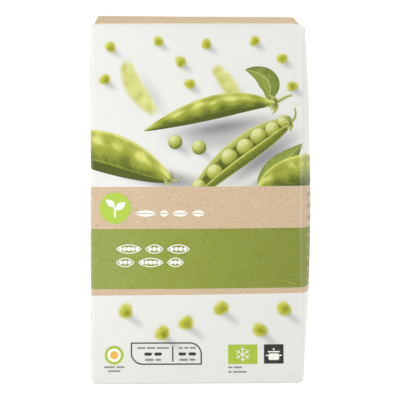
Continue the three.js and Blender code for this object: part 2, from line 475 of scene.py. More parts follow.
def make_inner_flap(name, materials, place):
    """A flat board one layer down, joined at the back edge and short of the front, with rounded corners."""
    back_end = HALF_WIDTH - LEFT_INSET
    length = DEPTH - INNER_FLAP_SHORTFALL
    zone = SHARP_CORNER * 1.5
    alongs = even(0, length - zone, INNER_FLAP_STEPS["plate"])[:-1]
    alongs += corner_stations(length - zone, zone, INNER_FLAP_STEPS["corner"])
    layers = (-BOARD, -BOARD * 0.8, -BOARD * 0.25, 0)
    spots, quads, cells = lattice_box((even(-1, 1, FLAP_STEPS["across"]), alongs, layers))
    share, along, under = spots.T
    back_round = np.where(along == 0, 0.12 * (1 - np.cos((under / BOARD + 0.5) * math.pi)), 0)
    end = back_end - INNER_FLAP_TAPER * along / length - corner_inset(length - along, zone)
    points = np.stack([share * end, HALF_DEPTH - along - back_round, under - LAYER], axis=1)

    def slot_of(cell):
        axis, high = cell[:2]
        if axis == 2:
            return 0 if high else 2
        return 0 if axis == 1 and not high else 1

    flipped, slots = [quad[::-1] for quad in quads], [slot_of(cell) for cell in cells]
    points = place(points)
    if place is at_top:
        points = follow_corners(points, [worn for worn in CORNER_CRUSHES if worn[0][2] > 0])
    return make_object(name, points, flipped, materials, slots, 0.6 * hump(along, 0, 0.5))


def at_top(points):
    return points + np.array([0, 0, HEIGHT])


def at_bottom(points):
    return points * np.array([-1, 1, -1])


# The print

def ink(colour, cover=1.0):
    """A printed colour and how far it hides the white board, for one point of a film."""
    return (*linear(*colour), cover)


def clamp(value):
    return min(1.0, max(0.0, value))


def blend(low, high, share):
    return tuple(a + (b - a) * clamp(share) for a, b in zip(low, high))


def smooth(low, high, value):
    share = clamp((value - low) / (high - low))
    return share * share * (3 - 2 * share)


def heading(angle):
    return Vector((math.cos(angle), math.sin(angle)))


def mottle(a, b, seed):
    """Smooth noise over a and b, between about -1 and 1."""
    return noise.noise(Vector((a, b, seed)))


class Film:
    """Printed shapes, gathered as sheets of (s, z) points and made into thin closed films on the board."""

    def __init__(self, name, material):
        self.name, self.material = name, material
        self.points, self.lifts, self.inks, self.faces = [], [], [], []

    def sheet(self, rows, inks, layer):
        """A sheet from rows of points. A row of one point closes the sheet there like a fan."""
        starts = []
        for row, colours in zip(rows, inks):
            starts.append(len(self.points))
            self.points += [tuple(p) for p in row]
            self.inks += list(colours)
            self.lifts += [FIRST_LIFT + LAYER_LIFT * layer] * len(row)
        faces = []
        for (a, row), (b, after) in zip(zip(starts, rows), zip(starts[1:], rows[1:])):
            for j in range(max(len(row), len(after)) - 1):
                ring = [a + min(j, len(row) - 1), a + min(j + 1, len(row) - 1)]
                ring += [b + min(j + 1, len(after) - 1), b + min(j, len(after) - 1)]
                faces.append([v for k, v in enumerate(ring) if v != ring[k - 1]])
        area = sum(self.signed_area(face) for face in faces)
        self.faces += faces if area > 0 else [face[::-1] for face in faces]

    def flat(self, rows, colour, layer):
        """A sheet from pairs of points, in one flat colour."""
        self.sheet(rows, [[ink(colour)] * 2] * len(rows), layer)

    def signed_area(self, face):
        ring = [self.points[v] for v in face]
        return sum(a[0] * b[1] - b[0] * a[1] for a, b in zip(ring, ring[1:] + ring[:1]))

    def disc(self, centre, rings, segments, place, colour, layer):
        """A round sheet: place gives the point and colour the ink for a share of the radius and an angle."""
        angles = [2 * math.pi * k / segments for k in range(segments)]
        start = len(self.points)
        self.points.append(tuple(centre))
        self.inks.append(colour(0, 0))
        for ring in rings:
            self.points += [place(ring, angle) for angle in angles]
            self.inks += [colour(ring, angle) for angle in angles]
        self.lifts += [FIRST_LIFT + LAYER_LIFT * layer] * (1 + segments * len(rings))
        for k in range(segments):
            after = (k + 1) % segments
            self.faces.append([start, start + 1 + k, start + 1 + after])
            for ring in range(len(rings) - 1):
                a, b = start + 1 + ring * segments, start + 1 + (ring + 1) * segments
                self.faces.append([a + k, b + k, b + after, a + after])

    def make(self):
        count, lifts = len(self.points), np.array(self.lifts)
        points = np.concatenate([on_board(self.points, lifts), on_board(self.points, lifts - FILM_THICKNESS)])
        edges = {(a, b) for face in self.faces for a, b in zip(face, face[1:] + face[:1])}
        rims = [[b, a, a + count, b + count] for a, b in edges if (b, a) not in edges]
        below = [[v + count for v in face[::-1]] for face in self.faces]
        faces = self.faces + below + sorted(rims)
        slots, wear_and_highlight = [0] * len(faces), np.tile(fold_wear(*np.array(self.points).T), 2)
        made = make_object(self.name, points, faces, [self.material], slots, wear_and_highlight, self.inks * 2)
        return made


# Colours of the print, as they show in even light
SHADOW_GREY = (128, 130, 134)
PEA_TONES = ((96, 106, 32), (168, 176, 72), (226, 228, 170))
FAR_TONES = ((138, 140, 34), (184, 188, 56), (214, 215, 112))
GAP_TONES = ((74, 84, 26), (78, 90, 28), (86, 98, 32))
POD_TONES = ((80, 92, 28), (150, 160, 54), (216, 217, 122))
FAR_POD_TONES = ((190, 194, 92), (212, 214, 126), (230, 231, 184))
WALL_TONES = ((84, 96, 30), (166, 174, 76), (218, 220, 148))
LEAF_DARK, LEAF_MID, LEAF_VEIN = (90, 108, 42), (142, 156, 66), (198, 204, 130)
STEM_DARK, STEM_LIGHT = (132, 138, 60), (208, 210, 134)
BADGE_GREEN = (178, 208, 78)
LABEL_GREEN = (172, 196, 62)
PAPER_WHITE = (246, 245, 236)
TEXT_GREY = (146, 145, 141)
LINE_GREY = (62, 62, 59)
DARK_GREY = (52, 52, 48)
BADGE_YELLOW = (236, 184, 74)
PRINT_GREEN = (150, 150, 84)
PRINT_KRAFT = (186, 172, 104)

# Where the light of the picture comes from
LIGHT = Vector((-0.42, 0.62, 0.66)).normalized()

# The print on white keeps this far off the bands, and its shadows end at these heights
PRINT_GAP = 0.05
SHADOW_BASE, SHADOW_TOP = 4, 194
PRINT_SPACING = 1.1


def three_tone(dark, mid, light, value):
    """A printed colour from dark by mid to light as value goes from 0 to 1."""
    if value < 0.5:
        return blend(dark, mid, smooth(0, 1, value * 2))
    return blend(mid, light, smooth(0, 1, value * 2 - 1))


class Shade:
    """Soft grey shadows on the white ground, gathered so that they run into each other."""

    def __init__(self):
        self.ovals = []

    def add(self, s, z, long, short, turn, depth):
        self.ovals.append((s, z, long, short, math.radians(turn), depth))

    def cover(self, s, z):
        clear = 1.0
        for middle_s, middle_z, long, short, turn, depth in self.ovals:
            a, b = s - middle_s, z - middle_z
            along = (a * math.cos(turn) + b * math.sin(turn)) / long
            beside = (b * math.cos(turn) - a * math.sin(turn)) / short
            share = np.clip(1 - np.hypot(along, beside), 0, 1)
            clear = clear * (1 - depth * share * share * (3 - 2 * share))
        return 1 - clear

    def ground(self, s, z):
        return ink(SHADOW_GREY, float(self.cover(s, z)))

    def print_on(self, film, s, bottom, top):
        """The shadows as a sheet between two heights at each s, cut down to where there is shadow."""
        steps = round(float((top - bottom).max()) / PRINT_SPACING)
        rows = [np.stack([s, bottom + (top - bottom) * k / steps], axis=1) for k in range(steps + 1)]
        covers = [self.cover(row[:, 0], row[:, 1]) for row in rows]
        faint = 0.004
        start, number = len(film.points), {}
        for k in range(steps):
            for j in range(len(s) - 1):
                ring = ((k, j), (k, j + 1), (k + 1, j + 1), (k + 1, j))
                if max(covers[a][b] for a, b in ring) < faint:
                    continue
                for a, b in ring:
                    if (a, b) not in number:
                        number[a, b] = start + len(number)
                        film.points.append(tuple(rows[a][b]))
                        film.inks.append(ink(SHADOW_GREY, float(covers[a][b])))
                        film.lifts.append(FIRST_LIFT)
                film.faces.append([number[spot] for spot in ring])


def over(colour, share, ground):
    """An ink that covers this share of the ink below it."""
    below = ground[3] * (1 - share)
    mixed = [(c * share + g * below) / max(share + below, 1e-6) for c, g in zip(linear(*colour), ground)]
    return (*mixed, share + below)


def pea(film, s, z, radius, layer, tones=PEA_TONES, shade=None, clip=None):
    """A round pea, lit from the upper left like a ball. With a shade, its soft rim runs into the ground."""
    if clip and clip((s, z + radius))[1] > z + radius:
        return
    soft = 0.1 if shade else 0.0

    def place(ring, angle):
        spot = s + radius * ring * math.cos(angle), z + radius * ring * math.sin(angle)
        return clip(spot) if clip else spot

    def colour(ring, angle):
        inside = min(1.0, ring / (1 - soft / 2))
        normal = Vector((inside * math.cos(angle), inside * math.sin(angle), math.sqrt(1 - inside**2)))
        lit = normal.dot(LIGHT)
        back_light = 0.2 * smooth(0.8, 1, ring) * smooth(0.1, -0.6, lit)
        skin = 0.07 * mottle(s + 2.2 * normal.x, z + 2.2 * normal.y, 3.0)
        printed = three_tone(*tones, 0.02 + 0.92 * smooth(-0.38, 1.2, lit) + back_light + skin)
        if not soft:
            return ink(printed)
        return over(printed, 1 - smooth(1 - soft, 1, ring), shade.ground(*place(ring, angle)))

    rings = [0.2, 0.38, 0.54, 0.68, 0.8, 0.9, 1]
    if soft:
        rings = [0.2, 0.38, 0.54, *[1 - soft + soft * k / 5 for k in range(6)]]
    film.disc(clip((s, z)) if clip else (s, z), rings, 32, place, colour, layer)


def far_pea(film, shade, s, z, radius, layer):
    """A pea far off and out of focus: uneven, with a soft rim and a darker core."""

    def place(ring, angle):
        uneven = 1 + 0.07 * math.sin(2 * angle + s) + 0.05 * math.sin(3 * angle - z)
        return s + radius * ring * uneven * math.cos(angle), z + radius * ring * uneven * math.sin(angle)

    def colour(ring, angle):
        x, y = ring * math.cos(angle), ring * math.sin(angle)
        core = math.exp(-((x - 0.1) ** 2 + (y + 0.06) ** 2) / 0.26)
        value = 0.7 + 0.22 * (y - x) - 0.5 * core + 0.3 * mottle(s + 2 * x, z + 2 * y, 7.0)
        share = 1 - smooth(0.56, 1, ring)
        return over(three_tone(*FAR_TONES, value), share, shade.ground(*place(ring, angle)))

    film.disc((s, z), [0.16, 0.32, 0.46, *[0.58 + 0.07 * k for k in range(7)]], 28, place, colour, layer)


def pea_shadow(shade, s, z, radius, reach=1.0):
    """The soft shadow of a loose pea, to its lower right."""
    far = radius * reach
    shade.add(s + far * 0.75, z - far * 0.8, far * 1.7, radius * 0.8, -38, 0.4)
    shade.add(s + radius * 0.3, z - radius * 0.5, radius * 1.25, radius, -38, 0.3)


def spine_points(controls, steps):
    """Points and left-hand normals along a cubic curve given by its four control points."""
    p0, p1, p2, p3 = (Vector(p) for p in controls)
    made = []
    for i in range(steps + 1):
        t = i / steps
        point = p0 * (1 - t) ** 3 + p1 * 3 * t * (1 - t) ** 2 + p2 * 3 * t * t * (1 - t) + p3 * t**3
        way = (p1 - p0) * (1 - t) ** 2 + (p2 - p1) * 2 * t * (1 - t) + (p3 - p2) * t * t
        way = way.normalized()
        made.append((t, point, Vector((-way.y, way.x))))
    return made


def ribbon(film, controls, half_width, colour, layer, steps, across, clip=None):
    """A shape along a curve, half_width(t) to each side, in colour(t, side), where side is -1 to 1."""
    rows, inks = [], []
    for t, point, normal in spine_points(controls, steps):
        sides = [-1 + 2 * j / across for j in range(across + 1)]
        row = [point + normal * half_width(t) * side for side in sides]
        rows.append([clip(p) if clip else tuple(p) for p in row])
        inks.append([colour(t, side) for side in sides])
    film.sheet(rows, inks, layer)


def above_band(point):
    """Keeps a point above the upper kraft band's edge, so that a shape ends where the band begins."""
    return point[0], max(point[1], float(band_height("kraft_top", point[0])) + PRINT_GAP)


def pod_width(full, blunt):
    """A pod's half width along its length, pointed at both ends."""
    return lambda t: max(0.05, full * math.sin(math.pi * clamp(t)) ** blunt)


def pod_colour(flip, bumps, seed):
    """A closed pod's ink: a tube lit from above, uneven over its peas, with a seam, veins and a mottle."""

    def colour(t, side):
        tube = side * flip
        bump = 0.5 - 0.5 * math.cos(2 * math.pi * bumps * t + 0.8 * math.sin(9 * t + seed))
        patches = mottle(11 * t, 1.5 * tube, seed)
        veins = mottle(34 * t + 5 * tube, 2.2 * tube - 10 * t, seed + 4)
        specks = mottle(90 * t, 9 * tube, seed + 8)
        lit = 0.5 * tube - 0.22 * tube**2 + 0.16 * (bump - 0.5) * (1 - abs(tube))
        ridge = 0.26 * hump(tube, 0.4 + 0.12 * patches, 0.24) * (0.45 + 0.5 * bump + 0.9 * patches)
        seam = 0.24 * hump(tube, -0.5, 0.05) - 0.14 * hump(tube, -0.6, 0.07)
        rim = 0.34 * smooth(0.82, 1, tube) + 0.12 * smooth(0.9, 1, -tube)
        ends = 0.14 * smooth(0.88, 1, t) + 0.14 * smooth(0.88, 1, 1 - t)
        skin = 0.16 * patches + 0.1 * veins + 0.07 * specks
        return ink(three_tone(*POD_TONES, 0.41 + lit + ridge + seam + rim + ends + skin))

    return colour


def closed_pod(film, controls, shape, skin, layer, fineness, clip=None):
    """A closed pod: its shape is for pod_width, its skin for pod_colour, its fineness is steps both ways."""
    ribbon(film, controls, pod_width(*shape), pod_colour(*skin), layer, *fineness, clip)


def far_pod(film, shade, controls, width):
    """A pod far off, pale and out of focus, with its peas as faint darker rounds."""
    steps, peas = 40, 4
    spine = spine_points(controls, steps)

    def colour(t, side):
        bump = 0.5 - 0.5 * math.cos(2 * math.pi * peas * t)
        patches = mottle(9 * t, 1.5 * side, controls[0][0])
        value = 0.5 + 0.3 * side - 0.3 * bump * (1 - abs(side)) + 0.35 * patches
        share = 0.95 * (1 - smooth(0.5, 1, abs(side))) * smooth(0, 0.16, t) * smooth(0, 0.16, 1 - t)
        _, point, normal = spine[round(steps * t)]
        spot = point + normal * width_at(t) * side
        return over(three_tone(*FAR_POD_TONES, value), share, shade.ground(*spot))

    width_at = pod_width(width, 0.4)
    ribbon(film, controls, width_at, colour, 1, steps, 18)


def strand(film, controls, start, end, layer):
    """A thin stalk or tendril that narrows from start to end."""

    def colour(t, side):
        return ink(blend(STEM_DARK, STEM_LIGHT, 0.5 + 0.5 * side))

    ribbon(film, controls, lambda t: start + (end - start) * t, colour, layer, 24, 2)


def curl(film, centre, radius, turns, start_angle, layer):
    """A tendril's spiral end."""
    steps = round(28 * turns)
    rows = []
    for i in range(steps + 1):
        share = i / steps
        angle = start_angle + 2 * math.pi * turns * share
        reach = radius * (1 - 0.72 * share)
        half = 0.24 * (1 - 0.6 * share)
        way = heading(angle)
        middle = Vector(centre) + way * reach
        rows.append([middle - way * half, middle + way * half])
    film.sheet(rows, [[ink(STEM_DARK), ink(STEM_LIGHT)]] * len(rows), layer)


def leaf(film, controls, width, layer, clip=None):
    """An oval leaf with a pale midrib and side veins."""

    def colour(t, side):
        rib = hump(side, 0, 0.07)
        vein = max(0.0, math.cos(2 * math.pi * (t * 7 - abs(side) * 1.4))) ** 10 * (1 - abs(side))
        patches = mottle(9 * t, 3 * side, 1.0)
        value = 0.35 + 0.4 * (side > 0) + 0.15 * math.sin(3 * t) + 0.3 * patches
        base = blend(LEAF_DARK, LEAF_MID, value + 0.2 * (1 - abs(side)))
        return ink(blend(base, LEAF_VEIN, 0.75 * rib + 0.4 * vein))

    def half_width(t):
        return max(0.05, width * math.sin(math.pi * t**0.8) ** 0.8)

    ribbon(film, controls, half_width, colour, layer, 56, 28, clip)


def calyx(film, s, z, angle, size, layer):
    """The cap of pointed leaves where a pod meets its stalk, which spread from (s, z) along the angle."""
    base = Vector((s, z))
    for k, turn in enumerate((-0.95, -0.5, 0.02, 0.48, 0.9)):
        way = heading(angle + turn)
        side = Vector((-way.y, way.x)) * (0.14 if turn > 0 else -0.14)
        paler = 0.25 * (k % 2)
        tip = base + way * size * (1.0 - paler)
        controls = (base, base + (way * 0.35 + side) * size, base + (way * 0.7 + side) * size, tip)

        def colour(t, edge):
            return ink(blend(LEAF_MID, STEM_LIGHT, paler + 0.35 + 0.35 * edge + 0.2 * t))

        def half_width(t):
            return max(0.03, 0.15 * size * math.sin(math.pi * t**0.6))

        ribbon(film, controls, half_width, colour, layer, 12, 4)


def open_pod(film, controls, width, peas, pea_radius, layer, clip):
    """A split pod: its inner wall, a dark hollow, the peas in a row, and the near lip across their feet."""

    def wall(t, side):
        skin = 0.1 * mottle(30 * t, 3 * side, 2.0)
        value = 0.62 * smooth(0.42, 0.8, side) + 0.34 * smooth(0.86, 1, side) + 0.3 * smooth(-0.6, -1, side)
        return ink(three_tone(*WALL_TONES, 0.06 + value + skin))

    ribbon(film, controls, pod_width(width, 0.55), wall, layer, 80, 16, clip)
    spine = spine_points(controls, 200)
    for k in range(peas):
        share = k / (peas - 1)
        _, point, normal = spine[round(200 * (0.1 + 0.82 * share))]
        radius = pea_radius * (0.66 + 0.34 * math.sin(math.pi * (0.1 + 0.83 * share)) ** 0.5)
        spot = point + normal * width * (0.12 + 0.05 * (-1) ** k)
        gap = 0.35
        pea(film, spot.x + gap, spot.y - gap, radius * 1.06, layer + 1, GAP_TONES, clip=clip)
        pea(film, spot.x, spot.y, radius, layer + 2, clip=clip)

    def lip(t, side):
        skin = 0.12 * mottle(40 * t, 3 * side, 5.0)
        value = 0.26 + 0.16 * side + 0.6 * smooth(0.5, 0.95, side) + 0.12 * smooth(-0.7, -1, side)
        return ink(three_tone(*POD_TONES, value + skin))

    low = [Vector(p) for p in controls]
    for k in (1, 2):
        low[k] = low[k] - spine[100][2] * width * 0.84
    ribbon(film, low, pod_width(width * 0.33, 0.75), lip, layer + 3, 80, 10, clip)


def bar(film, s0, z0, s1, z1, colour, layer=6, rounding=None):
    """A flat bar with rounded ends, from its lower left to its upper right corner."""
    half = (z1 - z0) / 2
    radius = min(half if rounding is None else rounding, (s1 - s0) / 2, half)
    steps = max(1, math.ceil((s1 - s0 - 2 * radius) / 1.5))
    turn = [radius * (1 - math.cos(math.pi / 2 * i / 5)) for i in range(5)] if radius > 0 else []
    stations = [s0 + t for t in turn] + even(s0 + radius, s1 - radius, steps) + [s1 - t for t in turn[::-1]]
    rows = []
    for s in stations:
        gap = max(0.0, radius - min(s - s0, s1 - s))
        cut = radius - math.sqrt(max(0.0, radius**2 - gap**2))
        rows.append([(s, z0 + min(cut, half - 0.01)), (s, z1 - min(cut, half - 0.01))])
    film.flat(rows, colour, layer)


def round_spot(film, s, z, radius, colour, layer=6, inner=0.0):
    """A flat disc, or a ring if it has an inner radius."""
    if not inner:
        def place(ring, angle):
            return s + radius * ring * math.cos(angle), z + radius * ring * math.sin(angle)

        film.disc((s, z), [0.5, 1], 32, place, lambda ring, angle: ink(colour), layer)
        return
    rows = []
    for angle in even(0, 2 * math.pi, 40):
        rows.append([Vector((s, z)) + heading(angle) * reach for reach in (inner, radius)])
    film.flat(rows, colour, layer)


def stroke(film, path, width, colour, layer=6):
    """A line of even width along a path of points."""
    points = [Vector(p) for p in path]
    rows = []
    for k, point in enumerate(points):
        before = (point - points[k - 1]).normalized() if k else None
        after = (points[k + 1] - point).normalized() if k + 1 < len(points) else None
        way = ((before or after) + (after or before)).normalized()
        reach = width / 2 / max(0.5, way.dot(before or after))
        side = Vector((-way.y, way.x)) * reach
        rows.append([point - side, point + side])
    film.flat(rows, colour, layer)


def finer(path, spacing=1.5):
    """The same path with more points, so that a long line follows the board."""
    made = [path[0]]
    for a, b in zip(path, path[1:]):
        steps = max(1, math.ceil(math.dist(a, b) / spacing))
        made += [tuple(Vector(a).lerp(Vector(b), i / steps)) for i in range(1, steps + 1)]
    return made


def word_bars(film, s0, z0, length, height, colour, words, layer=6):
    """A row of plain rounded bars, which share the length between them as the given numbers say."""
    gap = height * 0.75
    room = length - gap * (len(words) - 1)
    s = s0
    for word in words:
        width = room * word / sum(words)
        bar(film, s, z0, s + width, z0 + height, colour, layer)
        s += width + gap


def text_block(film, s0, z0, length, lines, spacing, height, colour, seed):
    """Rows of small bars like a paragraph, the last one short."""
    draw = random.Random(seed)
    for line in range(lines):
        words = [draw.uniform(0.6, 1.6) for _ in range(draw.randint(3, 5))]
        share = 0.55 if line == lines - 1 else draw.uniform(0.88, 1.0)
        word_bars(film, s0, z0 - line * spacing, length * share, height, colour, words)


def almond(film, base, tip, half):
    """A plain leaf shape from base to tip."""
    a, b = Vector(base), Vector(tip)
    controls = (a, a + (b - a) / 3, a + (b - a) * 2 / 3, b)

    def half_width(t):
        return max(0.02, half * math.sin(math.pi * t))

    ribbon(film, controls, half_width, lambda t, side: ink(PAPER_WHITE), 7, 10, 2)


def leaf_row(film, s, z, lengths):
    """A row of plain leaf shapes with a rib cut out, one for each length."""
    height, gap = 3.6, 1.7
    for length in lengths:
        for side in (-1, 1):
            rows = []
            for k in range(15):
                share = k / 14
                reach = height / 2 * math.sin(math.pi * share) ** 0.7
                near, far = min(0.22, reach * 0.5), max(reach, 0.02)
                rows.append([(s + length * share, z + side * out) for out in (near, far)])
            film.flat(rows, PAPER_WHITE, 6)
        s += length + gap


def pod_row(film, s, z, lengths):
    """A row of small outlined pods with peas in them, one for each length."""
    height, gap = 4.6, 2.4
    for length in lengths:
        for side in (-1, 1):
            shares = [k / 12 for k in range(13)]
            bows = [height / 2 * math.sin(math.pi * share) ** 0.75 for share in shares]
            arc = [(s + length * share, z + side * bow) for share, bow in zip(shares, bows)]
            stroke(film, arc, 0.55, PAPER_WHITE)
        count = max(2, round(length / 2.9))
        for k in range(count):
            along = (k + 1) / (count + 1)
            reach = 0.24 + 0.1 * math.sin(math.pi * along)
            round_spot(film, s + length * along, z, height / 2 * reach * 1.5, PAPER_WHITE)
        s += length + gap


# Loose peas and their radius: small and far off above the bands, close to the pods, and below the bands
FRONT_FAR_PEAS = (
    (-47, 183.5, 3.7), (-21, 186.5, 3.5), (-9, 175.5, 3.8), (5, 185, 3.6), (31, 186.5, 3.5), (46, 177, 3.7),
    (-50, 166, 3.8), (-4, 163.5, 3.7), (51.5, 162, 3.7),
)
FRONT_NEAR_PEAS = ((-12, 132), (1, 129))
FRONT_BASE_PEAS = ((-39, 40), (-6, 33.5), (13, 41.5), (47, 41), (34, 29.5), (-19, 28))
BACK_FAR_PEAS = (
    (-46, 180, 3.6), (-30, 186, 3.5), (-12, 178, 3.7), (8, 186, 3.5), (28, 179, 3.7), (45, 187, 3.5),
    (50, 171, 3.6),
)
BACK_NEAR_PEAS = ((-4, 120), (9, 124), (20, 117.5))
BACK_BASE_PEAS = ((-44, 39), (-22, 31), (4, 40), (24, 30), (46, 38))
NEAR_PEA_RADIUS = 4.1
BASE_PEA_RADIUS = 5.1

# Shadows of pods: the middle, how far each reaches along and across, its turn in degrees, and how deep it is
FRONT_POD_SHADOWS = (
    (-24, 157, 19, 6, -58, 0.25), (20, 160, 17, 6, -50, 0.25), (14, 140, 42, 7.5, 8, 0.9),
    (12, 133, 38, 9, 6, 0.5), (34, 122, 32, 8, 36, 0.85), (43, 126, 22, 10, 36, 0.45),
    (-22, 113, 32, 8, -14, 0.85), (-8, 111, 30, 7, -10, 0.45), (38, 110, 18, 5, 10, 0.65),
)
BACK_POD_SHADOWS = ((2, 125, 42, 7, 14, 0.7), (40, 112, 26, 6, -16, 0.5))


def print_shadows(shade, film, middle, panels, far_peas, near_peas, base_peas, pod_shadows):
    """Gathers the shadows of a face's peas and pods, and prints them above and below the bands.

    They run over neighbouring panels, each given by its middle and its half width.
    """
    for s, z, radius in far_peas:
        pea_shadow(shade, middle + s, z, radius)
    for s, z in base_peas:
        pea_shadow(shade, middle + s, z, 4.0, 1.5)
    for s, z in near_peas:
        pea_shadow(shade, middle + s, z, NEAR_PEA_RADIUS, 1.2)
    for s, z, *oval in pod_shadows:
        shade.add(middle + s, z, *oval)
    s = np.unique([place + spot for place, half in panels for spot in panel_stations(half, PRINT_SPACING)])
    shade.print_on(film, s, band_height("kraft_top", s) + PRINT_GAP, np.full_like(s, SHADOW_TOP))
    shade.print_on(film, s, np.full_like(s, SHADOW_BASE), band_height("kraft_base", s) - PRINT_GAP)


def print_peas(shade, film, middle, far_peas, near_peas, base_peas):
    """A face's loose peas."""
    for s, z, radius in far_peas:
        far_pea(film, shade, middle + s, z, radius, 2)
    for s, z in near_peas:
        pea(film, middle + s, z, NEAR_PEA_RADIUS, 5, PEA_TONES, shade)
    for s, z in base_peas:
        far_pea(film, shade, middle + s, z, BASE_PEA_RADIUS, 5)


def around(middle, points):
    """Points that are given from the middle of a panel, on the way round the carton."""
    return [(middle + s, z) for s, z in points]


def make_front_picture(shade, shadows, picture):
    """Pea pods and peas above the bands, which run round both folds, and loose peas below them."""
    panels = ((LEFT_MIDDLE, HALF_DEPTH), (0, HALF_WIDTH), (RIGHT_MIDDLE, HALF_DEPTH))
    loose = (FRONT_FAR_PEAS, FRONT_NEAR_PEAS, FRONT_BASE_PEAS)
    print_shadows(shade, shadows, 0, panels, *loose, FRONT_POD_SHADOWS)
    print_peas(shade, picture, 0, *loose)

    # Far off, out of focus
    far_pod(picture, shade, ((-38, 178), (-39, 166), (-31, 156), (-21, 146)), 6.4)
    far_pod(picture, shade, ((8, 174), (14, 168), (20, 160), (24, 148)), 5.4)

    # The closed pod across the middle, with its stalk and cap to the right, and a leaf behind it
    leaf(picture, ((38, 155), (43, 164), (36, 170), (26, 171)), 5.6, 3)
    long_pod = ((43, 152), (24, 157), (-2, 149), (-29, 138))
    closed_pod(picture, long_pod, (6.4, 0.8), (-1, 7, 1.5), 4, (140, 22))
    strand(picture, ((41, 152.5), (45, 154), (48, 157), (51.5, 157)), 1.0, 0.55, 5)
    calyx(picture, 43.5, 152.9, math.radians(192), 7.0, 6)

    # The open pod, cut off by the band
    open_pod(picture, ((-4, 100), (15, 124), (38, 137), (51, 143)), 7.6, 7, 4.75, 6, above_band)
    strand(picture, ((50, 142.3), (53, 143.6), (54, 147), (52.6, 150.5)), 0.9, 0.35, 10)
    calyx(picture, 51, 142.8, math.radians(210), 6.0, 10)

    # The large pod at the left, which runs round the left fold
    left_pod = ((-84, 128), (-60, 133), (-38, 124), (-14, 111))
    closed_pod(picture, left_pod, (11, 0.62), (1, 6, 2.5), 5, (140, 24), above_band)
    strand(picture, ((-15.5, 111.7), (-12, 110), (-10.5, 110.5), (-8.5, 113.5)), 0.8, 0.3, 6)
    calyx(picture, -14, 111.2, math.radians(153), 5.6, 7)

    # A leaf and a pod round the right fold
    leaf(picture, ((33, 109), (42, 119), (50, 122), (57, 131)), 5.5, 4, above_band)
    right_pod = ((33, 106), (48, 115), (64, 118), (88, 113))
    closed_pod(picture, right_pod, (10, 0.6), (1, 5, 3.5), 5, (130, 22), above_band)


# The round badge on the kraft band: its middle, from the panel's middle, and its radius
BADGE = (-44.7, 96.2, 8.5)

# Rows of small bars near the front's base: the lower left corner, the length, and each bar's share of it
FRONT_TEXT_ROWS = ((-50.8, 8.9, 11.4, (4, 3)), (-48.4, 6.7, 6.6, (3,)), (16.8, 8.5, 7.4, (1, 2)),
                   (16.8, 6.0, 10.1, (1, 4)))

# The round sign near the base: its middle, and the radius, colour and layer of each disc
ROUND_SIGN = (-45.2, 15.9)
SIGN_DISCS = ((5.1, LABEL_GREEN, 5), (3.7, PAPER_WHITE, 6), (2.2, BADGE_YELLOW, 7))


def make_badge_row(marks, middle):
    """The round badge on the kraft band, and the row of leaf shapes beside it."""
    s, z, radius = BADGE
    round_spot(marks, middle + s, z, radius, BADGE_GREEN, 5)
    leaf_row(marks, middle - 34.2, 93.3, (12.0, 5.0, 9.0, 7.4))


def make_sprout(marks):
    """The badge's sign: a stem with two leaves."""
    s, z, _ = BADGE
    stroke(marks, [(s - 0.4 + 0.4 * math.cos(k / 3), z - 5.2 + 1.1 * k) for k in range(7)], 0.9, PAPER_WHITE)
    almond(marks, (s, z + 0.6), (s - 5.0, z + 4.6), 1.7)
    almond(marks, (s, z - 1.2), (s + 5.6, z + 3.2), 1.9)


def make_front_marks(marks):
    """The plain shapes on the front's bands and near its base."""
    make_badge_row(marks, 0)
    make_sprout(marks)
    pod_row(marks, -44.0, 73.9, (13.5, 9.5, 12.0))
    pod_row(marks, -44.0, 66.6, (9.5, 13.5, 8.6))
    for radius, colour, layer in SIGN_DISCS:
        round_spot(marks, *ROUND_SIGN, radius, colour, layer)
    for s, z, length, words in FRONT_TEXT_ROWS:
        word_bars(marks, s, z, length, 0.9, TEXT_GREY, words)
    make_figure_frame(marks)
    bar(marks, 16.8, 10.8, 32.6, 21.4, LABEL_GREEN, 5, 0)
    make_snow_crystal(marks, 24.7, 16.1, 4.2)
    bar(marks, 36.2, 10.9, 46.7, 21.5, DARK_GREY, 5, 0)
    make_pot(marks, 41.45, 15.6)


def make_snow_crystal(marks, s, z, reach):
    """Six plain arms, each with a pair of short branches."""
    middle = Vector((s, z))
    for k in range(3):
        angle = math.pi * k / 3 + math.pi / 2
        way = heading(angle)
        stroke(marks, [middle - way * reach, middle, middle + way * reach], 0.42, PAPER_WHITE)
        for sense in (-1, 1):
            foot = middle + way * sense * reach * 0.55
            for turn in (-1, 1):
                out = angle + math.pi / 3 * turn + (math.pi if sense < 0 else 0)
                tip = foot + heading(out) * reach * 0.36
                stroke(marks, [foot, tip], 0.36, PAPER_WHITE, 7)


def make_pot(marks, s, z):
    """A plain cooking pot with a lid."""
    bar(marks, s - 2.9, z - 2.7, s + 2.9, z + 0.9, PAPER_WHITE, 6, 0.9)
    for side in (-1, 1):
        bar(marks, s + side * 3.6 - 0.7, z - 0.5, s + side * 3.6 + 0.7, z + 0.2, PAPER_WHITE, 7)
    bar(marks, s - 3.3, z + 1.5, s + 3.3, z + 2.2, PAPER_WHITE)
    round_spot(marks, s, z + 3.2, 0.55, PAPER_WHITE)


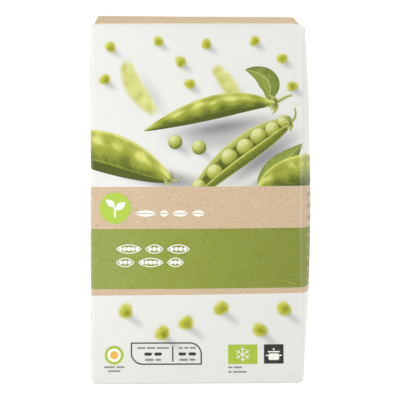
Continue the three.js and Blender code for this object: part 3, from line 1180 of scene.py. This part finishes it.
def make_figure_frame(marks):
    """A thin frame in two halves, round at two of its corners, with three rows of small bars in each."""
    left, base, right, top, turn, line = -35.8, 10.9, 2.2, 22.5, 6.2, 0.7
    arc = even(0.1, 1.47, 10)
    path = [(left, top), (right - turn, top)]
    path += [(right - turn + turn * math.sin(a), top - turn + turn * math.cos(a)) for a in arc]
    path += [(right, top - turn), (right, base), (left + turn, base)]
    path += [(left + turn - turn * math.sin(a), base + turn - turn * math.cos(a)) for a in arc]
    path += [(left, base + turn), (left, top + line / 2)]
    stroke(marks, finer(path), line, LINE_GREY)
    stroke(marks, finer([(-13.3, 12.3), (-13.3, 20.9)]), line, LINE_GREY)
    for middle, first in ((-24.0, 17.5), (-5.4, 9.5)):
        word_bars(marks, middle - first / 2, 19.3, first, 1.0, TEXT_GREY, (2, 2, 3))
        word_bars(marks, middle - 4.8, 15.6, 9.6, 1.7, LINE_GREY, (3, 3))
        word_bars(marks, middle - 4.4, 12.7, 8.8, 1.2, TEXT_GREY, (3, 2))


def make_side_marks(marks, middle, seed):
    """The plain shapes on a narrow side: rows of bars on the bands, and small round signs and bars below."""
    left, right, sign_height = middle - 15.5, middle + 15.5, 36.5
    for k in range(3):
        word_bars(marks, left, 101.4 - 6.4 * k, 31 - 5 * (k == 2), 1.9, PRINT_GREEN, (4, 2, 5, 3), 5)
    for k in range(5):
        word_bars(marks, left, 79.4 - 6.2 * k, 31 - 8 * (k == 4), 1.7, PRINT_KRAFT, (2, 5, 3, 4), 5)
    for k, s in enumerate((right - 15.2, right - 8, right - 0.8)):
        round_spot(marks, s, sign_height, 3.1, LINE_GREY, 5, 2.7)
        for ray in range(3 + k):
            way = heading(math.pi * ray / (3 + k)) * 1.7
            sign = Vector((s, sign_height))
            stroke(marks, [sign - way, sign + way], 0.4, LINE_GREY)
        word_bars(marks, s - 2.6, 30.6, 5.2, 0.9, TEXT_GREY, (2, 2))
    text_block(marks, right - 17.5, 25.5, 19.5, 6, 2.9, 0.9, TEXT_GREY, seed)


def make_right_marks(marks):
    """A block of rows under a heading, as packs carry."""
    make_side_marks(marks, RIGHT_MIDDLE, 5)
    left = RIGHT_MIDDLE + 1.5
    bar(marks, left, 181.5, left + 10.5, 184.0, PRINT_GREEN)
    text_block(marks, left, 176, 16.5, 9, 3.1, 1.0, TEXT_GREY, 8)


def make_left_marks(marks):
    """A plain table of rows, as packs carry."""
    make_side_marks(marks, LEFT_MIDDLE - 3, 13)
    left, right, lines = LEFT_MIDDLE - 18.5, LEFT_MIDDLE + 12, 9
    bar(marks, left, 181.5, left + 20, 184.3, PRINT_GREEN)
    for k in range(lines):
        z = 177.5 - 4.6 * k
        stroke(marks, finer([(left, z), (right, z)]), 0.3, LINE_GREY)
        if k < lines - 1:
            word_bars(marks, left + 0.8, z - 3.0, 11 - 3 * (k % 2), 1.1, TEXT_GREY, (3, 2))
            word_bars(marks, right - 7.5, z - 3.0, 6.5, 1.1, TEXT_GREY, (2, 1))


def make_back_picture(shade, shadows, picture):
    """Pods, a leaf and peas on the back, in a layout of their own, with shadows onto the left side."""
    middle = BACK_MIDDLE
    panels = ((middle, HALF_WIDTH), (BACK_LEFT_FOLD + HALF_DEPTH, HALF_DEPTH))
    loose = (BACK_FAR_PEAS, BACK_NEAR_PEAS, BACK_BASE_PEAS)
    print_shadows(shade, shadows, middle, panels, *loose, BACK_POD_SHADOWS)
    print_peas(shade, picture, middle, *loose)
    leaf(picture, around(middle, ((-44, 138), (-47, 150), (-40, 158), (-28, 163))), 6.0, 3)
    long_pod = around(middle, ((-47, 136), (-28, 126), (4, 134), (34, 150)))
    closed_pod(picture, long_pod, (8, 0.72), (1, 7, 4.5), 4, (130, 20))
    calyx(picture, middle - 47, 136, math.radians(-28), 6.5, 6)
    strand(picture, around(middle, ((-46, 136), (-49, 138), (-51, 142), (-50, 147))), 1.0, 0.5, 5)
    curl(picture, (middle - 48, 128), 3.0, 1.4, math.radians(60), 4)
    short_pod = around(middle, ((12, 104), (28, 122), (48, 124), (70, 110)))
    closed_pod(picture, short_pod, (9, 0.6), (1, 5, 5.5), 6, (120, 20), above_band)


def make_back_marks(marks):
    """The plain shapes on the back: bars on the bands, a block of rows and a block of stripes below."""
    middle = BACK_MIDDLE
    make_badge_row(marks, middle)
    round_spot(marks, middle + BADGE[0], BADGE[1], 5.2, PAPER_WHITE, 6, 3.6)
    pod_row(marks, middle - 44.0, 76.5, (13.5, 9.5, 12.0))
    text_block(marks, middle - 44, 68.5, 60, 4, 3.6, 1.3, PAPER_WHITE, 21)
    text_block(marks, middle - 48, 21.0, 52, 4, 3.1, 1.0, TEXT_GREY, 34)
    draw = random.Random(55)
    s = middle + 20
    while s < middle + 44:
        width = draw.choice((0.35, 0.35, 0.7, 1.0))
        bar(marks, s, 8, s + width, 22, DARK_GREY, 5, 0)
        s += width + draw.choice((0.4, 0.7, 1.0))


# Small signs of handling on the front: each chip's height and colour, each crease's width, colour and path
CHIPS = ((116.4, (250, 249, 244)), (59.6, (220, 222, 178)))
# The grey creases on the white are painted shade in the dents; the one on the green is a paler line.
CREASE_SHADES_AND_PALE_LINES = (
    (0.18, (176, 184, 116), ((46.8, 56.8), (50.0, 55.4), (53.6, 54.6))),
    (0.2, (219, 218, 211), ((50.5, 152.6), (54.0, 151.9), (56.6, 152.4))),
    (0.25, (226, 226, 221), ((-52.6, 2.6), (-50.0, 5.0), (-47.2, 6.8))),
    (0.22, (222, 221, 215), ((49.6, 3.0), (51.5, 3.8), (53.6, 5.0))),
)


def make_wear_and_crease_shade_marks(marks):
    for z, colour in CHIPS:
        round_spot(marks, HALF_WIDTH - 0.1, z, 0.36, colour, 8)
    # Crease lines: painted shade on the white, a paler line on the green.
    for width, colour, path in CREASE_SHADES_AND_PALE_LINES:
        stroke(marks, finer(path, 0.8), width, colour, 4)


# Materials

class Paint:
    """A node material, with short ways to add its nodes."""

    def __init__(self, name, roughness, specular):
        self.material = bpy.data.materials.new(name)
        self.material.use_nodes = True
        self.tree = self.material.node_tree
        self.shader = self.tree.nodes["Principled BSDF"]
        self.shader.inputs["Roughness"].default_value = roughness
        self.shader.inputs["Specular IOR Level"].default_value = specular
        self.place = self.node("ShaderNodeTexCoord").outputs["Object"]

    def node(self, kind, inputs=(), **settings):
        made = self.tree.nodes.new(kind)
        for key, value in settings.items():
            setattr(made, key, value)
        for key, value in dict(inputs).items():
            self.feed(made.inputs[key], value)
        return made

    def feed(self, socket, value):
        if isinstance(value, bpy.types.NodeSocket):
            self.tree.links.new(value, socket)
        else:
            socket.default_value = value

    def noise(self, per_mm, detail=2.0, stretch=(1, 1, 1), rough=0.5):
        """Noise with this many waves to the millimetre."""
        scale = self.node("ShaderNodeMapping", {"Vector": self.place, "Scale": stretch}).outputs[0]
        inputs = {"Vector": scale, "Scale": per_mm / MM, "Detail": detail, "Roughness": rough}
        return self.node("ShaderNodeTexNoise", inputs).outputs[0]

    def along(self, axis):
        """The place along an axis of the scene, in metres."""
        return self.node("ShaderNodeSeparateXYZ", {0: self.place}).outputs[axis]

    def between(self, value, low, high, to_low=0.0, to_high=1.0):
        inputs = {"Value": value, "From Min": low, "From Max": high, "To Min": to_low, "To Max": to_high}
        return self.node("ShaderNodeMapRange", inputs).outputs[0]

    def maths(self, operation, a, b):
        return self.node("ShaderNodeMath", {0: a, 1: b}, operation=operation).outputs[0]

    def mix(self, share, low, high, way="MIX"):
        made = self.node("ShaderNodeMix", data_type="RGBA", blend_type=way)
        for socket, value in ((0, share), (6, low), (7, high)):
            self.feed(made.inputs[socket], (*value, 1.0) if isinstance(value, tuple) else value)
        return made.outputs[2]

    def worn(self, colour, paper, most):
        """The colour rubbed away to paper where the mesh says that the coating is worn, and lifted to it as
        painted highlight on the outer flaps' top fold.
        """
        wear_and_highlight = self.node("ShaderNodeAttribute", attribute_name="wear_and_highlight").outputs["Fac"]
        patchy = self.between(self.noise(0.8, 3, (1, 1, 0.35)), 0.3, 0.7, 0.5, 1.25)
        rubbed_and_highlight = self.maths("MULTIPLY", self.maths("MULTIPLY", wear_and_highlight, patchy), most)
        return self.mix(self.maths("MINIMUM", rubbed_and_highlight, 0.95), colour, paper)

    def finish(self, colour, height=None, depth=0.02, strength=0.4):
        self.feed(self.shader.inputs["Base Color"], colour)
        if height is not None:
            inputs = {"Height": height, "Strength": strength, "Distance": depth * MM}
            self.feed(self.shader.inputs["Normal"], self.node("ShaderNodeBump", inputs).outputs[0])
        return self.material


WHITE_LOW, WHITE_HIGH, BASE_SHADE_GREY = linear(228, 229, 224), linear(231, 232, 227), linear(205, 203, 198)
# Pale colours of worn coating; the white and kraft ones also serve as painted highlight on the outer flaps'
# top fold.
WORN_WHITE, WORN_AND_HIGHLIGHT_KRAFT, WORN_GREEN = linear(250, 249, 244), linear(250, 238, 214), linear(212, 216, 178)
RAW_LOW, RAW_HIGH = linear(160, 148, 128), linear(196, 184, 160)
GREY_LOW, GREY_HIGH = linear(186, 180, 168), linear(206, 201, 190)

# Unbleached board, bare and printed green: two tones of mottle, a third in patches, pale fibres and dark ones
KRAFT_COLOURS = (
    linear(201, 176, 142), linear(220, 198, 167), linear(216, 188, 161),
    linear(234, 217, 184), linear(180, 150, 116),
)
GREEN_COLOURS = (
    linear(133, 143, 56), linear(149, 160, 72), linear(144, 156, 77),
    linear(158, 168, 82), linear(118, 128, 46),
)

# How far up from the floor the white board carries a painted grey shade, in metres
BASE_SHADE_FROM, BASE_SHADE_TO = 0.0002, 0.0012

# Across the carton, in metres: where the bands' painted sheen fades to painted shade, and where its milky
# tint ends
SHEEN_FADE_FROM, SHEEN_FADE_TO = -0.045, 0.045
MILKY_SHEEN_FROM, MILKY_SHEEN_TO = -0.055, -0.015


def white_colour(paint):
    """The coated white board's colour, which the ink shows wherever it doesn't cover the white, with painted
    shade at the base.
    """
    cloud = paint.between(paint.noise(0.03, 3), 0.35, 0.65)
    fine = paint.between(paint.noise(1.1, 2), 0.3, 0.7)
    colour = paint.mix(fine, paint.mix(cloud, WHITE_LOW, WHITE_HIGH), WHITE_HIGH)
    # Painted shade: greyer over the lowest millimetre, where the base meets the floor.
    return paint.mix(paint.between(paint.along("Z"), BASE_SHADE_FROM, BASE_SHADE_TO, 0.6, 0.0), colour, BASE_SHADE_GREY)


def board_relief(paint):
    """The board's fine tooth and slow unevenness, as a height for bump."""
    return paint.maths("ADD", paint.noise(2.2, 3), paint.maths("MULTIPLY", paint.noise(0.12, 2), 4.0))


def unbleached(paint, low, high, other, pale, dark):
    """Unbleached board: a fine mottle, pale and dark fibres that lie two ways, and rare dark specks."""
    colour = paint.mix(paint.between(paint.noise(1.0, 4, rough=0.7), 0.34, 0.66), low, high)
    colour = paint.mix(paint.between(paint.noise(0.22, 3), 0.4, 0.66, 0.0, 0.6), colour, other)
    for stretch, tone, least in (((0.3, 0.3, 1.6), pale, 0.56), ((1.5, 1.5, 0.35), dark, 0.58)):
        share = paint.between(paint.noise(1.5, 3, stretch, 0.6), least, least + 0.12, 0.0, 0.5)
        colour = paint.mix(share, colour, tone)
    specks = paint.between(paint.noise(0.9, 1, rough=0.3), 0.72, 0.78, 0.0, 0.7)
    return paint.mix(specks, colour, dark)


def painted_sheen_at_left(paint, colour, left, right, milky_sheen):
    """Painted sheen and shade: the colour times one number at the carton's left and another at its right,
    milky at the left.
    """
    across = paint.along("X")
    share = paint.between(across, SHEEN_FADE_FROM, SHEEN_FADE_TO, left, right)
    blue = paint.maths("MULTIPLY", share, paint.between(across, MILKY_SHEEN_FROM, MILKY_SHEEN_TO, milky_sheen, 1.0))
    sheen_tint = paint.node("ShaderNodeCombineColor", {0: share, 1: share, 2: blue}).outputs[0]
    return paint.mix(1.0, colour, sheen_tint, "MULTIPLY")


def make_white():
    paint = Paint("printed_white_board", roughness=0.42, specular=0.25)
    return paint.finish(paint.worn(white_colour(paint), WORN_WHITE, 0.9), board_relief(paint), 0.006, 0.35)


def make_kraft_flap():
    """The flaps' kraft, a little yellower than the bands."""
    paint = Paint("kraft_flap_board", roughness=0.55, specular=0.12)
    colour = paint.mix(1.0, unbleached(paint, *KRAFT_COLOURS), (1.02, 1.01, 0.89), "MULTIPLY")
    # Rubbed paper and the painted highlight over the top fold mix the kraft towards pale cream.
    return paint.finish(paint.worn(colour, WORN_AND_HIGHLIGHT_KRAFT, 0.9), board_relief(paint), 0.012, 0.5)


def make_kraft():
    paint = Paint("kraft_board", roughness=0.55, specular=0.12)
    # The bands' kraft carries a faint painted sheen at the left and painted shade at the right.
    colour = painted_sheen_at_left(paint, unbleached(paint, *KRAFT_COLOURS), 0.98, 0.96, 1.03)
    return paint.finish(paint.worn(colour, WORN_AND_HIGHLIGHT_KRAFT, 0.75), board_relief(paint), 0.012, 0.5)


def make_green():
    paint = Paint("green_print_on_kraft", roughness=0.5, specular=0.1)
    # The green carries a strong painted sheen at the left, milky there, and painted shade at the right.
    colour = painted_sheen_at_left(paint, unbleached(paint, *GREEN_COLOURS), 1.14, 0.9, 1.4)
    return paint.finish(paint.worn(colour, WORN_GREEN, 0.6), board_relief(paint), 0.010, 0.45)


def make_raw_edge():
    """The cut edge of the board, where its grey fibres show in layers."""
    paint = Paint("cut_board_edge", roughness=0.9, specular=0.2)
    layers = paint.between(paint.noise(2.4, 3, (0.25, 0.25, 2.5), 0.6), 0.35, 0.65)
    return paint.finish(paint.mix(layers, RAW_LOW, RAW_HIGH), paint.noise(3.0, 3), 0.02, 0.6)


def make_inner_face():
    """The unprinted inner face of the board."""
    paint = Paint("unprinted_board", roughness=0.8, specular=0.25)
    cloud = paint.between(paint.noise(0.7, 4, rough=0.6), 0.35, 0.65)
    return paint.finish(paint.mix(cloud, GREY_LOW, GREY_HIGH), board_relief(paint), 0.012, 0.5)


def make_ink():
    """Print on the white board: the mesh gives each point's ink and how far it covers the white."""
    paint = Paint("printed_ink", roughness=0.42, specular=0.25)
    given = paint.node("ShaderNodeAttribute", attribute_name="ink")
    grain = paint.between(paint.noise(1.6, 3, rough=0.6), 0.3, 0.7, 0.93, 1.07)
    grey = paint.node("ShaderNodeCombineColor", {0: grain, 1: grain, 2: grain}).outputs[0]
    printed = paint.mix(1.0, given.outputs["Color"], grey, "MULTIPLY")
    colour = paint.mix(given.outputs["Alpha"], white_colour(paint), printed)
    return paint.finish(paint.worn(colour, WORN_WHITE, 0.55), board_relief(paint), 0.006, 0.35)


# The studio

# How bright the surroundings are, and how much more or less so behind, above and on the right
WORLD_LEVEL = 0.42
WORLD_BEHIND = 0.42
WORLD_ABOVE = 0.55
WORLD_RIGHT = 0.24

# The floor's own glow, and half its side in metres
FLOOR_GLOW = 0.30
FLOOR_HALF = 6

# The lights, in metres and watts: where each stands, what it is aimed at, its side and its power
LIGHTS = {
    "key_light": ((-0.42, -0.48, 0.09), (0, 0, 0.09), 0.3, 1.55),
    "top_light": ((0, -0.5, 1.5), (0, 0, 0.1), 0.8, 3.5),
}

# The camera, where the photograph was taken from: far off, slightly above and slightly left of the front
CAMERA_AWAY = 2500
CAMERA_AZIMUTH = math.radians(-1.968)
CAMERA_ELEVATION = math.radians(5.858)
CAMERA_AIM = (2.32, 98.07)
FOCAL_PIXELS = 4578.1
PICTURE_PIXELS = 400
SENSOR_WIDTH = 36


def aim(thing, place, way):
    """Puts a camera or a light at a place and turns it to look along a way."""
    thing.location = place
    thing.rotation_mode = "QUATERNION"
    thing.rotation_quaternion = way.to_track_quat("-Z", "Y")


def make_camera():
    target = Vector((CAMERA_AIM[0] + CARTON_SHIFT[0], CARTON_SHIFT[1], CAMERA_AIM[1]))
    level = math.cos(CAMERA_ELEVATION)
    across, ahead = math.sin(CAMERA_AZIMUTH) * level, -math.cos(CAMERA_AZIMUTH) * level
    back = Vector((across, ahead, math.sin(CAMERA_ELEVATION)))
    data = bpy.data.cameras.new("studio_camera")
    data.sensor_width = SENSOR_WIDTH
    data.lens = SENSOR_WIDTH * FOCAL_PIXELS / PICTURE_PIXELS
    data.clip_start, data.clip_end = 0.05, 50
    camera = add_object("studio_camera", data)
    aim(camera, (target + back * CAMERA_AWAY) * MM, -back)
    bpy.context.scene.camera = camera


def make_light(name, place, target, size, watts):
    data = bpy.data.lights.new(name, "AREA")
    data.shape, data.size, data.energy = "SQUARE", size, watts
    aim(add_object(name, data), place, Vector(target) - Vector(place))


def make_world():
    """White surroundings, brighter behind and above the carton and a little brighter on its right."""
    world = bpy.data.worlds.new("studio_world")
    world.use_nodes = True
    tree = world.node_tree
    way = tree.nodes.new("ShaderNodeSeparateXYZ")
    tree.links.new(tree.nodes.new("ShaderNodeTexCoord").outputs["Generated"], way.inputs[0])
    level = None
    for axis, share in (("X", WORLD_RIGHT), ("Y", WORLD_BEHIND), ("Z", WORLD_ABOVE)):
        part = tree.nodes.new("ShaderNodeMath")
        part.operation = "MULTIPLY_ADD"
        part.inputs[1].default_value = share
        part.inputs[2].default_value = WORLD_LEVEL
        tree.links.new(way.outputs[axis], part.inputs[0])
        if level is not None:
            tree.links.new(level, part.inputs[2])
        level = part.outputs[0]
    tree.links.new(level, tree.nodes["Background"].inputs["Strength"])
    tree.nodes["Background"].inputs["Color"].default_value = (1, 1, 1, 1)
    bpy.context.scene.world = world


def make_floor():
    paint = Paint("studio_floor", roughness=0.9, specular=0.1)
    cloud = paint.between(paint.noise(0.004, 2), 0.3, 0.7)
    cover = paint.finish(paint.mix(cloud, (0.95, 0.95, 0.95), (0.97, 0.97, 0.97)))
    paint.feed(paint.shader.inputs["Emission Color"], (1, 1, 1, 1))
    paint.feed(paint.shader.inputs["Emission Strength"], FLOOR_GLOW)
    mesh = bpy.data.meshes.new("studio_floor")
    grid = bmesh.new()
    bmesh.ops.create_grid(grid, x_segments=8, y_segments=8, size=FLOOR_HALF)
    grid.to_mesh(mesh)
    grid.free()
    mesh.materials.append(cover)
    floor = add_object("studio_floor", mesh)


def make_studio():
    """A floor that glows like a light table, pale surroundings, and soft lights at the left and above."""
    view = bpy.context.scene.view_settings
    view.view_transform = "Standard"
    view.look = "None"
    make_world()
    make_floor()
    for name, light in LIGHTS.items():
        make_light(name, *light)


def make_carton():
    white, kraft, green = make_white(), make_kraft(), make_green()
    raw, inner, printed = make_raw_edge(), make_inner_face(), make_ink()
    shell = make_shell([white, kraft, green])
    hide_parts("carton_body")
    flap_faces = [white, make_kraft_flap(), raw, inner]
    ends = (
        ("top", at_top, SHARP_CORNER, ROUND_CORNER, FREE_CORNER_LIFT, TOP_WHITE_ANGLE),
        ("bottom", at_bottom, SHARP_CORNER, SHARP_CORNER, 0, BASE_WHITE_ANGLE),
    )
    for end, place, left, right, lift, white_angle in ends:
        outer = make_outer_flap(f"{end}_outer_flap_board", flap_faces, place, left, right, lift, white_angle)
        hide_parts(f"{end}_outer_flap")
        lower = make_inner_flap(f"{end}_inner_flap_board", [white, raw, inner], place)
        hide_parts(f"{end}_inner_flap")
    films = {name: Film(name, printed) for name in (
        "front_shadow_print", "front_picture_print", "front_marks_print", "back_shadow_print",
        "back_picture_print", "back_marks_print", "right_marks_print", "left_marks_print", "wear_and_crease_shade_marks")}
    make_front_picture(Shade(), films["front_shadow_print"], films["front_picture_print"])
    make_front_marks(films["front_marks_print"])
    make_back_picture(Shade(), films["back_shadow_print"], films["back_picture_print"])
    make_back_marks(films["back_marks_print"])
    make_right_marks(films["right_marks_print"])
    make_left_marks(films["left_marks_print"])
    make_wear_and_crease_shade_marks(films["wear_and_crease_shade_marks"])
    for film in films.values():
        film.make()


make_camera()
make_studio()
make_carton()
